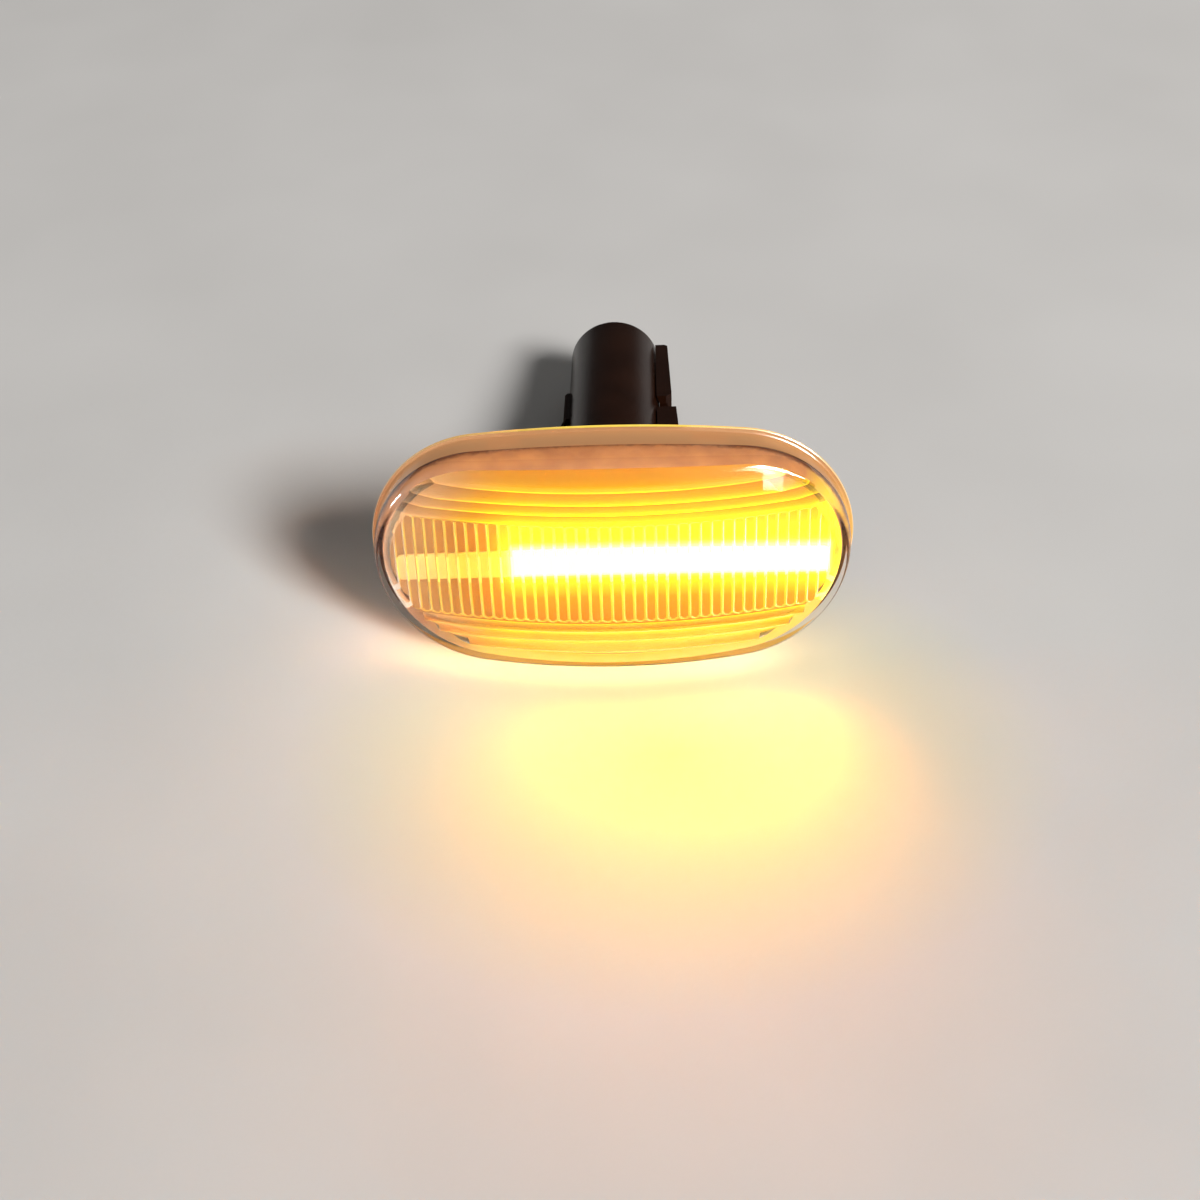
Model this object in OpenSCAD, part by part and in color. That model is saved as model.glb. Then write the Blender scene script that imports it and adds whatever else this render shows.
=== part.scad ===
// Side repeater lamp: an oval lens over a row of emitters, with a long connector tail behind.
// The lens faces -Y, the tail runs to +Y, +Z is up. The origin is the middle of the flange's
// rear face, which sits on the wing panel.

/* [Flange outline] */
// Full width of the flange
flange_w = 76; // [72:0.5:82]
// Full height of the flange
flange_h = 39.5; // [39:0.25:41.5]
// How much less the radius of the round ends is than half of the height
end_ease = 0.85; // [0.6:0.05:1.4]

/* [Lens] */
// How far the lens stands out from the seat
projection = 13; // [12.7:0.1:15]
// How far the crowned front falls from its middle to the ends of the flange
face_bow = 6.88; // [5:0.04:7.2]
// Depth of the straight skirt before the dome begins
skirt_depth = 2.7; // [2.4:0.1:3]
// How far the rear lip reaches past the skirt
lip_out = 0.7; // [0.5:0.1:1]
// Thickness of the rear lip
lip_t = 0.55; // [0.4:0.05:0.8]
// Side wall of the skirt
skirt_wall = 1.4; // [1.2:0.1:1.6]
// Thickness of the front, between flutes
front_wall = 1.6; // [1.4:0.1:1.8]
// How far the outside of the dome leans in for each millimetre that it rises
dome_lean = 0.28; // [0.22:0.01:0.32]
// Width of the sloped shoulder inside, between the side wall and the crowned face
shoulder_w = 2.5; // [2:0.1:2.8]
// Depth of that shoulder
shoulder_drop = 1.9; // [1.5:0.1:2.2]

/* [Flutes and steps] */
// Number of upright flutes
flutes = 43; // [31:2:43]
// Spacing of the flutes
flute_pitch = 1.7; // [1.6:0.05:1.75]
// Width of the groove between two flutes
flute_gap = 0.34; // [0.25:0.01:0.5]
// How far a flute stands out of the inner face
flute_t = 0.35; // [0.2:0.05:0.4]
// Half height of the fluted band
flute_half = 8.8; // [8.2:0.1:9]
// Slope of the prism steps above and below the flutes
step_slope = 0.25; // [0.15:0.01:0.3]

/* [Housing] */
// Thickness of the rear plate
plate_t = 1.2; // [1:0.1:1.3]
// Thickness of the plate's raised rim
rim_wall = 1.2; // [1:0.1:1.3]
// Length of the tail, from the seat to its mouth
tail_l = 63; // [60:1:66]
// Outer diameter of the tail
tail_d = 16.2; // [15.8:0.1:17]
// Wall of the tail
tail_wall = 1.7; // [1.5:0.1:1.8]
// Depth of the socket in the end of the tail
socket_depth = 19; // [17:1:20]
// Thickness of the socket's floor
socket_floor = 4; // [3:0.5:5]

/* [Light bar] */
// From the end of the flange to the end of the light bar
bar_end_gap = 4.8; // [4.7:0.1:6]
// Height of the light bar
bar_h = 4.4; // [4.2:0.1:4.8]
// How far the bar lies below the middle of the lens
bar_drop = 1.8; // [1.4:0.1:2.4]

/* [Fit] */
// Clearance between pieces that slip together
slip = 0.1; // [0.08:0.01:0.15]

/* [Hidden] */
$fn = 64;

// outline: two end arcs, and two long arcs that meet them smoothly
half_w = flange_w / 2;
half_h = flange_h / 2;
end_r = half_h - end_ease;
end_x = half_w - end_r;
edge_r = (end_x^2 + half_h^2 - end_r^2) / (2 * (half_h - end_r));
turn = atan2(edge_r - half_h, end_x);

// insets from the flange outline
skirt_inset = lip_out;
pocket_inset = skirt_inset + skirt_wall;
plate_inset = pocket_inset + slip;
ledge = 0.6;
dome_inset = pocket_inset + ledge;
knee_inset = dome_inset + shoulder_w;
crown_r = half_w^2 / (2 * face_bow);
inner_r = crown_r - front_wall;
rim_inset = plate_inset + rim_wall;
reflector_inset = rim_inset + slip;

// heights at which one prism step ends and the next begins
step_edges = [flute_half, 10.5, 12.2, 14.3, half_h];

// tabs of the lens in the notches of the housing's rim
tab_x = 15.5;
tab_w = 5.7;
tab_back = 0.4;

// depths in front of the seat
leds = 12;
board_t = 0.8;
board_front = plate_t + board_t;
led_t = 0.7;
led_w = 3.5;
led_h = 2.8;
chip_t = 1.1;
reflector_front = board_front + 2.4;
reflector_t = 0.6;
reflector_wall = 0.8;
bar_front = reflector_front + 0.2;
bar_channel_h = led_h + 0.5;
bar_channel_top = board_front + led_t + slip;
tray_inset = reflector_inset + reflector_wall;
board_l = flange_w - 2 * tray_inset - 0.8;
board_h = 0.65 * (flange_h - 2 * tray_inset);
bar_l = flange_w - 2 * bar_end_gap;
led_pitch = (bar_l - 0.4) / leds;

// tail
tail_r = tail_d / 2;
bore_r = tail_r - tail_wall;
socket_y = tail_l - socket_depth;
floor_y = socket_y - socket_floor;
plinth_r = 11;
plinth_l = 9;

// latch and hook on the sides of the tail
latch_half = 3.5;
latch_foot_x = 11;
latch_foot_y = 37;
latch_notch = 4;
latch_neck_out = 9.5;
latch_tip_out = 9.9;
latch_barb_out = 10.3;
latch_tip_y = tail_l - 1;
hook_out = 8.7;
hook_half = 2.8;
hook_y = [32.5, 44.3];

// terminals and leads
blade_w = 2.8;
blade_t = 0.8;
blade_x = 2.5;
blade_end = tail_l - 6;
blade_start = floor_y - 3;
lead_d = 1.3;

// the flange outline

// stations along one arc: its centre, radius and angles
function arc(x, r, from, to, steps) =
    [for (k = [0 : steps - 1])
        let (a = from + (to - from) * k / steps)
        [x, r == edge_r ? sign(sin(a)) * (half_h - edge_r) : 0, r, a]];

stations = concat(
    arc(end_x, end_r, -turn, turn, 28),
    arc(0, edge_r, turn, 180 - turn, 14),
    arc(-end_x, end_r, 180 - turn, 180 + turn, 28),
    arc(0, edge_r, 180 + turn, 360 - turn, 14));

// the point of the outline at a station, moved in by an inset
function rim_point(s, inset) =
    [s[0] + (s[2] - inset) * cos(s[3]), s[1] + (s[2] - inset) * sin(s[3])];

module outline(inset) {
    polygon([for (s = stations) rim_point(s, inset)]);
}

// an oval slab between two depths in front of the seat
module slab(inset, from, to) {
    rotate([90, 0, 0])
        translate([0, 0, from])
            linear_extrude(to - from)
                outline(inset);
}

// an oval ring between two insets
module ring(outer, inner, from, to) {
    rotate([90, 0, 0])
        translate([0, 0, from])
            linear_extrude(to - from)
                difference() {
                    outline(outer);
                    outline(inner);
                }
}

// a shape drawn in the lamp's face, extruded between two depths in front of the seat
module forward(from, to) {
    rotate([90, 0, 0])
        translate([0, 0, from])
            linear_extrude(to - from)
                children();
}

// the two stretches of the upper rim where the lens's tabs sit in the housing's notches
module tab_zones(inner, from, to, width) {
    intersection() {
        ring(0, inner, from, to);
        for (side = [-1, 1])
            translate([side * tab_x - width / 2, -to, half_h / 2])
                cube([width, to - from, half_h]);
    }
}

// a rectangle with rounded corners
module rounded(w, h, r) {
    square([w - 2 * r, h], center = true);
    square([w, h - 2 * r], center = true);
    for (x = [-1, 1], z = [-1, 1])
        translate([x * (w / 2 - r), z * (h / 2 - r)])
            circle(r, $fn = 32);
}

// lens

// height of the crowned front over the seat, with a wall taken off
function crown(p, wall) = projection - wall - (p[0]^2 + p[1]^2) / (2 * crown_r);

wall_rings = 9;

// a ring of the outside: it rises upright, leans in and turns over on to the crown
function outer_ring(turned) =
    [for (s = stations)
        let (foot = rim_point(s, skirt_inset),
            rise = crown(foot, 0) - skirt_depth,
            p = rim_point(s, skirt_inset + dome_lean * rise * (1 - pow(cos(turned), 0.8))),
            h = skirt_depth + (crown(p, 0) - skirt_depth) * pow(sin(turned), 0.8))
        [p[0], -h, p[1]]];

// a ring of the inside, at or below the front wall as it is at the knee of the shoulder
function inner_ring(inset, rise) =
    [for (s = stations)
        let (p = rim_point(s, inset), h = crown([rim_point(s, knee_inset)[0], 0], front_wall) + rise)
        [p[0], -h, p[1]]];

function flat_ring(inset, h) =
    [for (s = stations) let (p = rim_point(s, inset)) [p[0], -h, p[1]]];

// the rings of a crowned face, drawn in from its edge towards the middle
function crown_from(edge, wall, rings) =
    [for (k = [0 : rings - 1])
        [for (e = edge)
            let (p = [e[0], e[2]] * (1 - k / rings))
            [p[0], -crown(p, wall), p[1]]]];

// a closed solid through rings, from the first ring's flat foot to a point in front
module loft(rings, tip) {
    n = len(stations);
    m = len(rings);
    points = concat([for (r = rings, p = r) p], [[0, -tip, 0]]);
    foot = [for (i = [0 : n - 1]) i];
    sides = [for (j = [0 : m - 2], i = [0 : n - 1])
        let (a = j * n + i, b = j * n + (i + 1) % n)
        each [[a, b + n, b], [a, a + n, b + n]]];
    top = [for (i = [0 : n - 1]) [(m - 1) * n + (i + 1) % n, (m - 1) * n + i, m * n]];
    polyhedron(points, concat([foot], sides, top), convexity = 4);
}

module dome() {
    loft(concat([flat_ring(skirt_inset, 0)],
        [for (k = [0 : wall_rings - 1]) outer_ring(90 * k / wall_rings)],
        crown_from(outer_ring(90), 0, 7)), projection);
}

// the upright wall inside and its sloped shoulder, carried on past the knee
module shoulder_room() {
    loft([flat_ring(dome_inset, skirt_depth - 0.5),
        inner_ring(dome_inset, -shoulder_drop),
        inner_ring(dome_inset + 1.5 * shoulder_w, shoulder_drop / 2)], projection + 4);
}

// the inside of the front wall, turned about the upright axis of the crown:
// plain behind the flutes, and outside them prism steps in which the wall grows thicker outwards
module stepped_front() {
    n = len(step_edges);
    upper = [for (k = [n - 2 : -1 : 0])
        each [[inner_r - step_slope * (step_edges[k + 1] - step_edges[k]), step_edges[k + 1]],
            [inner_r, step_edges[k]]]];
    lower = [for (k = [len(upper) - 1 : -1 : 0]) [upper[k][0], -upper[k][1]]];
    translate([0, crown_r - projection, 0])
        rotate_extrude($fn = 180)
            polygon(concat([[inner_r - 30, half_h]], upper, lower, [[inner_r - 30, -half_h]]));
}

// one flute: an upright pad standing on the inside of the front wall, with round lower corners
// and sides that draw in a little towards its top
module flute(i) {
    half = (flute_pitch - flute_gap) / 2;
    corner = 0.5;
    translate([0, crown_r - projection, 0])
        rotate((i - (flutes - 1) / 2) * flute_pitch / inner_r * 180 / PI)
            translate([0, flute_t - inner_r, 0])
                rotate([90, 0, 0])
                    linear_extrude(2 * flute_t)
                        hull() {
                            for (side = [-1, 1])
                                translate([side * (half - corner), 0.3 + corner - flute_half])
                                    circle(corner, $fn = 12);
                            translate([0.03 - half, flute_half - 0.4])
                                square([2 * half - 0.06, 0.2]);
                        }
}

module lens() {
    color([1, 0.72, 0.4, 0.6])
        difference() {
            union() {
                dome();
                slab(0, 0, lip_t);
            }
            difference() {
                slab(pocket_inset, -1, skirt_depth);
                tab_zones(rim_inset - slip, tab_back, skirt_depth + 1, tab_w);
            }
            difference() {
                intersection() {
                    shoulder_room();
                    stepped_front();
                }
                for (i = [0 : flutes - 1])
                    flute(i);
            }
        }
}

// housing

// the round tail, turned from its plinth to the chamfered mouth
module tail_outside() {
    rotate([-90, 0, 0])
        rotate_extrude()
            polygon([[0, -plate_t], [plinth_r, -plate_t], [plinth_r, plinth_l - 2],
                [plinth_r - 1.4, plinth_l], [tail_r, plinth_l], [tail_r, tail_l - 0.4],
                [tail_r - 0.4, tail_l], [0, tail_l]]);
}

// an outline drawn from above in X and Y, extruded about the middle of the height
module across(half) {
    translate([0, 0, -half])
        linear_extrude(2 * half)
            children();
}

// the snap latch: a foot on the plinth, a thin neck that flexes and a finger with a barb
module latch() {
    across(latch_half)
        polygon([[tail_r - 1, 0], [latch_foot_x + 1.4, 0], [latch_foot_x, latch_foot_y],
            [tail_r - 1, latch_foot_y]]);
    across(latch_half - 1.5)
        polygon([[tail_r - 1, latch_foot_y - 1], [latch_neck_out + 0.3, latch_foot_y - 1],
            [latch_neck_out, latch_foot_y + latch_notch + 1], [tail_r - 1, latch_foot_y + latch_notch + 1]]);
    across(latch_half)
        polygon([[tail_r - 1, latch_foot_y + latch_notch], [latch_neck_out - 0.2, latch_foot_y + latch_notch],
            [latch_barb_out, latch_foot_y + latch_notch + 1.1], [latch_tip_out, latch_tip_y - 0.5],
            [latch_tip_out - 0.5, latch_tip_y], [tail_r - 1, latch_tip_y]]);
}

// the fixed hook on the other side, with the web that carries it down to the plate
module hook() {
    across(hook_half)
        polygon([[1 - tail_r, hook_y[1]], [-tail_r - 0.1, hook_y[1]], [-hook_out, hook_y[1] - 0.8],
            [-hook_out, hook_y[0]], [-tail_r - 0.1, hook_y[0] + 2], [1 - tail_r, hook_y[0] + 2]]);
    across(1)
        polygon([[1 - tail_r, 0], [-2.2 * tail_r, 0], [-tail_r, hook_y[1] - 4], [1 - tail_r, hook_y[1] - 4]]);
}

// the slots for the two blades through the socket's floor
module blade_slots() {
    for (side = [-1, 1])
        translate([side * blade_x - blade_t / 2 - slip, floor_y - 1, -blade_w / 2 - slip])
            cube([blade_t + 2 * slip, socket_floor + 2, blade_w + 2 * slip]);
}

module housing() {
    color([0.1, 0.08, 0.07])
        difference() {
            union() {
                slab(plate_inset, 0, plate_t);
                ring(plate_inset, rim_inset, 0, skirt_depth);
                tail_outside();
                hook();
                difference() {
                    latch();
                    translate([0, plinth_l, 0])
                        rotate([-90, 0, 0])
                            cylinder(h = tail_l, r = tail_r + 0.3);
                }
            }
            tab_zones(rim_inset, tab_back - slip, skirt_depth + 1, tab_w + 2 * slip);
            translate([0, -plate_t - 1, 0])
                rotate([-90, 0, 0])
                    cylinder(h = floor_y + plate_t + 1, r = bore_r);
            translate([0, socket_y, 0])
                rotate([-90, 0, 0])
                    cylinder(h = socket_depth + 1, r = bore_r);
            blade_slots();
        }
}

// the adhesive squeezed out along the foot of the dome, on the housing's rim
module glue_bead() {
    color([0.25, 0.13, 0.08])
        ring(dome_inset + slip, rim_inset - slip, skirt_depth, skirt_depth + 0.5);
}

// inside the lens

// grey trim with a wall that stands on the plate and a slot that frames the light bar
module reflector() {
    color([0.62, 0.58, 0.56]) {
        ring(reflector_inset, reflector_inset + reflector_wall, plate_t, reflector_front);
        difference() {
            slab(reflector_inset, reflector_front - reflector_t, reflector_front);
            translate([0, 0, -bar_drop])
                forward(0, reflector_front + 1)
                    rounded(bar_l + 2 * slip, bar_h + 2 * slip, 0.6);
        }
    }
}

// the bar that spreads the light, with a channel over the row of emitters
module diffuser() {
    color([0.97, 0.93, 0.88])
        translate([0, 0, -bar_drop])
            difference() {
                forward(board_front, bar_front)
                    rounded(bar_l, bar_h, 0.5);
                forward(0, bar_channel_top)
                    square([(leds - 1) * led_pitch + led_w + 0.5, bar_channel_h], center = true);
            }
}

module circuit_board() {
    color([0.85, 0.87, 0.84])
        forward(plate_t, board_front)
            rounded(board_l, board_h, board_h / 2 - 1);
}

// one emitter: a white body with a round window
module led(i) {
    color([0.98, 0.9, 0.55])
        translate([(i - (leds + 1) / 2) * led_pitch, 0, -bar_drop])
            difference() {
                forward(board_front, board_front + led_t)
                    square([led_w, led_h], center = true);
                forward(board_front + led_t - 0.1, board_front + led_t + 1)
                    circle(1.1);
            }
}

// a flat chip with legs along its upper and lower edges
module chip(x, z, w, h, legs) {
    translate([x, 0, z]) {
        forward(board_front, board_front + chip_t)
            square([w, h], center = true);
        for (i = [0 : legs - 1], side = [-1, 1])
            translate([(i - (legs - 1) / 2) * w / legs, 0, side * (h / 2 + 0.3)])
                forward(board_front, board_front + 0.2)
                    square([0.4, 0.8], center = true);
    }
}

// a small block with a metal cap at each end
module block(x, z, w, h, t) {
    translate([x, 0, z]) {
        forward(board_front, board_front + t)
            square([w, h], center = true);
        for (side = [-1, 1])
            translate([side * w / 2, 0, 0])
                forward(board_front, board_front + t + 0.05)
                    square([0.6, h + 0.1], center = true);
    }
}

module controller_chip() {
    color([0.12, 0.12, 0.13])
        chip(-8, board_h / 4, 4.9, 3.4, 4);
}

module regulator() {
    color([0.14, 0.14, 0.15])
        chip(4, board_h / 4, 3, 1.8, 2);
}

module rectifier() {
    color([0.15, 0.15, 0.16])
        block(14, board_h / 4, 4.2, 2.6, chip_t);
}

module capacitor() {
    color([0.7, 0.55, 0.4])
        block(-19, board_h / 4, 3.2, 2.5, 0.6);
}

module resistor(i) {
    color([0.1, 0.1, 0.1])
        block((i - 2.5) * 13, -0.35 * board_h, 2, 1.2, 0.4);
}

// terminals and leads

// a flat blade with a pointed tip; its shoulder bears on the back of the socket's floor
module terminal(side) {
    color([0.85, 0.8, 0.6])
        translate([side * blade_x - blade_t / 2, 0, 0])
            rotate([90, 0, 90])
                linear_extrude(blade_t)
                    polygon([[blade_start, -blade_w / 2 - 0.7], [floor_y, -blade_w / 2 - 0.7],
                        [floor_y, -blade_w / 2], [blade_end - 1, -blade_w / 2],
                        [blade_end, -blade_w / 2 + 0.8], [blade_end, blade_w / 2 - 0.8],
                        [blade_end - 1, blade_w / 2], [floor_y, blade_w / 2],
                        [floor_y, blade_w / 2 + 0.7], [blade_start, blade_w / 2 + 0.7]]);
}

// a straight insulated wire from the back of the board to a blade
module lead(side) {
    color(side < 0 ? [0.7, 0.1, 0.08] : [0.1, 0.1, 0.1])
        translate([side * blade_x, -plate_t, 0])
            rotate([-90, 0, 0])
                cylinder(h = blade_start + plate_t, d = lead_d, $fn = 32);
}

// the nodes

lens();
housing();
glue_bead();
reflector();
diffuser();
circuit_board();
led(1);  // led_1
led(2);  // led_2
led(3);  // led_3
led(4);  // led_4
led(5);  // led_5
led(6);  // led_6
led(7);  // led_7
led(8);  // led_8
led(9);  // led_9
led(10);  // led_10
led(11);  // led_11
led(12);  // led_12
controller_chip();
regulator();
rectifier();
capacitor();
resistor(1);  // resistor_1
resistor(2);  // resistor_2
resistor(3);  // resistor_3
resistor(4);  // resistor_4
terminal(-1);  // terminal_left
terminal(1);  // terminal_right
lead(-1);  // lead_left
lead(1);  // lead_right
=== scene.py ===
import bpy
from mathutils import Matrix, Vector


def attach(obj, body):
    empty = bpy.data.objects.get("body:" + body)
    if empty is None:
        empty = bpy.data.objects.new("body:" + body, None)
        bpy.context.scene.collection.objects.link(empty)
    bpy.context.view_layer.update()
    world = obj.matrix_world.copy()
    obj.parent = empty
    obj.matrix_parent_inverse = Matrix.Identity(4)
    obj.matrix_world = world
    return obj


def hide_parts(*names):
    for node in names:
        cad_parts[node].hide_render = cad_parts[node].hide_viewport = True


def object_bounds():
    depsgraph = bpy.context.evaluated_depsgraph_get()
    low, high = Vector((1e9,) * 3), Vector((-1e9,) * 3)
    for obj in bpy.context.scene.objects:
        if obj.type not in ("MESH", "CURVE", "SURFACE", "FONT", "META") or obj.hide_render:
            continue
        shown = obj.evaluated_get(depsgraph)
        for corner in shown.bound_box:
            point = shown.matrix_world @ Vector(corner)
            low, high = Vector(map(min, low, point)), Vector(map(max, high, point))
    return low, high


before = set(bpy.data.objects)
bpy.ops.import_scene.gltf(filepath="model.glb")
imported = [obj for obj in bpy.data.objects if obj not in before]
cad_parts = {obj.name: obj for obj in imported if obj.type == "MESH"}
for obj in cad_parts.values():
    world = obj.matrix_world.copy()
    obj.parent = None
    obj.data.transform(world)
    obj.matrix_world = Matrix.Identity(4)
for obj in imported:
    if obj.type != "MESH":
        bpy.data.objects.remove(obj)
cad_low, cad_high = [list(corner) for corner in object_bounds()]

import math
import bpy
import bmesh
from mathutils import Matrix, Vector, noise

MM = 0.001

# Camera: a phone held above and in front of the lamp, looking down at it.
# Its place and turn were fitted to the flange outline, the dome's step lines and the tail.
CAMERA_AT = Vector((6.2, -232.65, 142.7)) * MM
CAMERA_DOWN, CAMERA_ASIDE, CAMERA_ROLL = (math.radians(a) for a in (33.65, -2.10, -2.31))
FOCAL_PX, PHOTO_PX, SENSOR_W = 1722, 1200, 36

ahead = Vector((math.sin(CAMERA_ASIDE) * math.cos(CAMERA_DOWN),
                math.cos(CAMERA_ASIDE) * math.cos(CAMERA_DOWN), -math.sin(CAMERA_DOWN)))
level_right = Vector((math.cos(CAMERA_ASIDE), -math.sin(CAMERA_ASIDE), 0))
level_up = level_right.cross(ahead)
right = math.cos(CAMERA_ROLL) * level_right + math.sin(CAMERA_ROLL) * level_up
up = math.cos(CAMERA_ROLL) * level_up - math.sin(CAMERA_ROLL) * level_right
camera_data = bpy.data.cameras.new("camera")
camera_data.sensor_width = SENSOR_W
camera_data.lens = FOCAL_PX / PHOTO_PX * SENSOR_W
camera_data.clip_start = 0.005
camera = bpy.data.objects.new("camera", camera_data)
bpy.context.collection.objects.link(camera)
camera.matrix_world = Matrix((
    (right.x, up.x, -ahead.x, CAMERA_AT.x),
    (right.y, up.y, -ahead.y, CAMERA_AT.y),
    (right.z, up.z, -ahead.z, CAMERA_AT.z),
    (0, 0, 0, 1)))
bpy.context.scene.camera = camera


# Floor: a plain pale table top with a dull finish. The lamp lies on it on the lower edge of its
# flange and on the lower edge of its tail, so in the lamp's own frame the table slopes.
TABLE_HALF = 0.9
TAIL_R = 8.1 * MM
flange_foot_z, tail_end_y = cad_low[2], cad_high[1]
table_tilt = math.atan2(-TAIL_R - flange_foot_z, tail_end_y)


def material(name):
    """A new node material: (material, its nodes, its links, its shader)."""
    made = bpy.data.materials.new(name)
    made.use_nodes = True
    tree = made.node_tree
    return made, tree.nodes, tree.links, tree.nodes["Principled BSDF"]


def texture_place(nodes, links):
    """Object coordinates in millimetres."""
    place = nodes.new("ShaderNodeTexCoord")
    sized = nodes.new("ShaderNodeMapping")
    sized.inputs["Scale"].default_value = (1 / MM,) * 3
    links.new(place.outputs["Object"], sized.inputs["Vector"])
    return sized.outputs["Vector"]


def noise_at(nodes, links, vector, scale, detail=3, rough=0.5):
    grain = nodes.new("ShaderNodeTexNoise")
    grain.inputs["Scale"].default_value = scale
    grain.inputs["Detail"].default_value = detail
    grain.inputs["Roughness"].default_value = rough
    links.new(vector, grain.inputs["Vector"])
    return grain.outputs["Fac"]


def colour_between(nodes, links, value, low, high, start=0.3, end=0.7):
    ramp = nodes.new("ShaderNodeValToRGB")
    ramp.color_ramp.elements[0].position = start
    ramp.color_ramp.elements[0].color = (*low, 1)
    ramp.color_ramp.elements[1].position = end
    ramp.color_ramp.elements[1].color = (*high, 1)
    links.new(value, ramp.inputs["Fac"])
    return ramp.outputs["Color"]


def number_between(nodes, links, value, low, high):
    spread = nodes.new("ShaderNodeMapRange")
    spread.inputs["To Min"].default_value = low
    spread.inputs["To Max"].default_value = high
    links.new(value, spread.inputs["Value"])
    return spread.outputs["Result"]


def bumped(nodes, links, shader, height, strength, distance):
    bump = nodes.new("ShaderNodeBump")
    bump.inputs["Strength"].default_value = strength
    bump.inputs["Distance"].default_value = distance
    links.new(height, bump.inputs["Height"])
    links.new(bump.outputs["Normal"], shader.inputs["Normal"])


def object_from(name, body, smooth_below=None):
    """An object from a bmesh, shaded smooth up to an angle in degrees."""
    mesh = bpy.data.meshes.new(name)
    body.to_mesh(mesh)
    body.free()
    made = bpy.data.objects.new(name, mesh)
    bpy.context.collection.objects.link(made)
    if smooth_below is not None:
        mesh.shade_smooth()
        mesh.set_sharp_from_angle(angle=math.radians(smooth_below))
    return made


table = bmesh.new()
for x, y in ((-1, -1), (1, -1), (1, 1), (-1, 1)):
    table.verts.new((TABLE_HALF * x, TABLE_HALF * y * math.cos(table_tilt),
                     flange_foot_z + TABLE_HALF * y * math.sin(table_tilt)))
table.faces.new(table.verts)
floor = object_from("table_top", table)
floor_look, nodes, links, shader = material("table_top")
where = texture_place(nodes, links)
mottle = noise_at(nodes, links, where, 0.02, 2)
pale = colour_between(nodes, links, mottle, (0.60, 0.585, 0.57), (0.64, 0.625, 0.61))
# painted light: the table is painted yellower where the lamp shines on it, an oval pool of light before the
# lens, in millimetres
PATCH_X, PATCH_Y, PATCH_W, PATCH_L = 8.5, -25, 60, 46
from_patch = nodes.new("ShaderNodeMapping")
from_patch.inputs["Scale"].default_value = (1 / PATCH_W, 1 / PATCH_L, 0)
from_patch.inputs["Location"].default_value = (-PATCH_X / PATCH_W, -PATCH_Y / PATCH_L, 0)
links.new(where, from_patch.inputs["Vector"])
in_patch = nodes.new("ShaderNodeTexGradient")
in_patch.gradient_type = "SPHERICAL"
links.new(from_patch.outputs["Vector"], in_patch.inputs["Vector"])
painted_light_pool = nodes.new("ShaderNodeMix")
painted_light_pool.data_type = "RGBA"
links.new(number_between(nodes, links, in_patch.outputs["Fac"], 0, 0.85), painted_light_pool.inputs["Factor"])
links.new(pale, painted_light_pool.inputs["A"])
painted_light_pool.inputs["B"].default_value = (0.62, 0.62, 0.25, 1)
links.new(painted_light_pool.outputs["Result"], shader.inputs["Base Color"])
shader.inputs["Roughness"].default_value = 0.62
shader.inputs["Specular IOR Level"].default_value = 0.0
floor.data.materials.append(floor_look)


# Light: soft daylight from in front and to the right, which throws the lamp's shadow back and
# to the left, with a little from all round. Two windows show as bright panes on the lens.
def soft_lamp(name, at, aim, size, watts, tint):
    data = bpy.data.lights.new(name, "AREA")
    data.shape = "RECTANGLE"
    data.size, data.size_y = size
    data.energy = watts
    data.color = tint
    lamp = bpy.data.objects.new(name, data)
    bpy.context.collection.objects.link(lamp)
    lamp.location = at
    lamp.rotation_euler = (Vector(aim) - Vector(at)).to_track_quat("-Z", "Y").to_euler()
    return lamp


MIDDLE = (0, 0.02, 0)
key = soft_lamp("key", (1.90, -2.13, 1.62), MIDDLE, (0.86, 0.86), 139, (1.0, 0.99, 0.975))
key.visible_glossy = False
window = soft_lamp("window", (0.50, -0.20, 0.50), MIDDLE, (0.24, 0.52), 34, (1.0, 1.0, 1.0))
far_window = soft_lamp("far_window", (-0.90, 0.28, 0.10), (0, 0, 0), (0.16, 0.22), 4, (1.0, 1.0, 1.0))
for pane in (window, far_window):
    pane.visible_diffuse = False
    pane.visible_transmission = False
sky = soft_lamp("sky", (0.0, 0.1, 0.95), (0, 0, 0), (1.1, 1.1), 0.5, (0.97, 0.985, 1.0))
sky.visible_glossy = False
world = bpy.data.worlds.new("room")
bpy.context.scene.world = world
world.use_nodes = True
all_round = world.node_tree.nodes["Background"]
all_round.inputs["Color"].default_value = (0.90, 0.90, 0.88, 1)
all_round.inputs["Strength"].default_value = 0.105
bpy.context.scene.view_settings.view_transform = "Standard"


# Lens: one clear moulding of polycarbonate, glued over the rim of the housing. It has an oval
# flange edge, a short skirt and a crowned dome, and inside the dome 43 upright flutes with prism
# steps above and below them. Its sizes are in millimetres.
FLANGE_W, FLANGE_H, END_R = 76.0, 39.5, 18.9
PROJECTION, FACE_BOW = 13.0, 6.88
SKIRT_DEPTH, SKIRT_INSET, SKIRT_WALL, LIP_T, LIP_ROUND = 2.7, 0.7, 1.4, 0.55, 0.12
FRONT_WALL, DOME_LEAN, DOME_FULLNESS = 1.6, 0.28, 0.8
SHOULDER_W, SHOULDER_DROP, LEDGE = 2.5, 1.9, 0.6
STEP_EDGES, STEPS_END, STEP_SLOPE = (8.8, 10.5, 12.2, 14.3, 19.75), 17.0, 0.32
FLUTES, FLUTE_PITCH, FLUTE_GAP, FLUTE_T, FLUTE_HALF = 43, 1.7, 0.34, 0.35, 8.8
TAB_X, TAB_W, TAB_BACK = 15.5, 5.7, 0.4
SLIP, RIM_WALL = 0.1, 1.2

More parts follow.
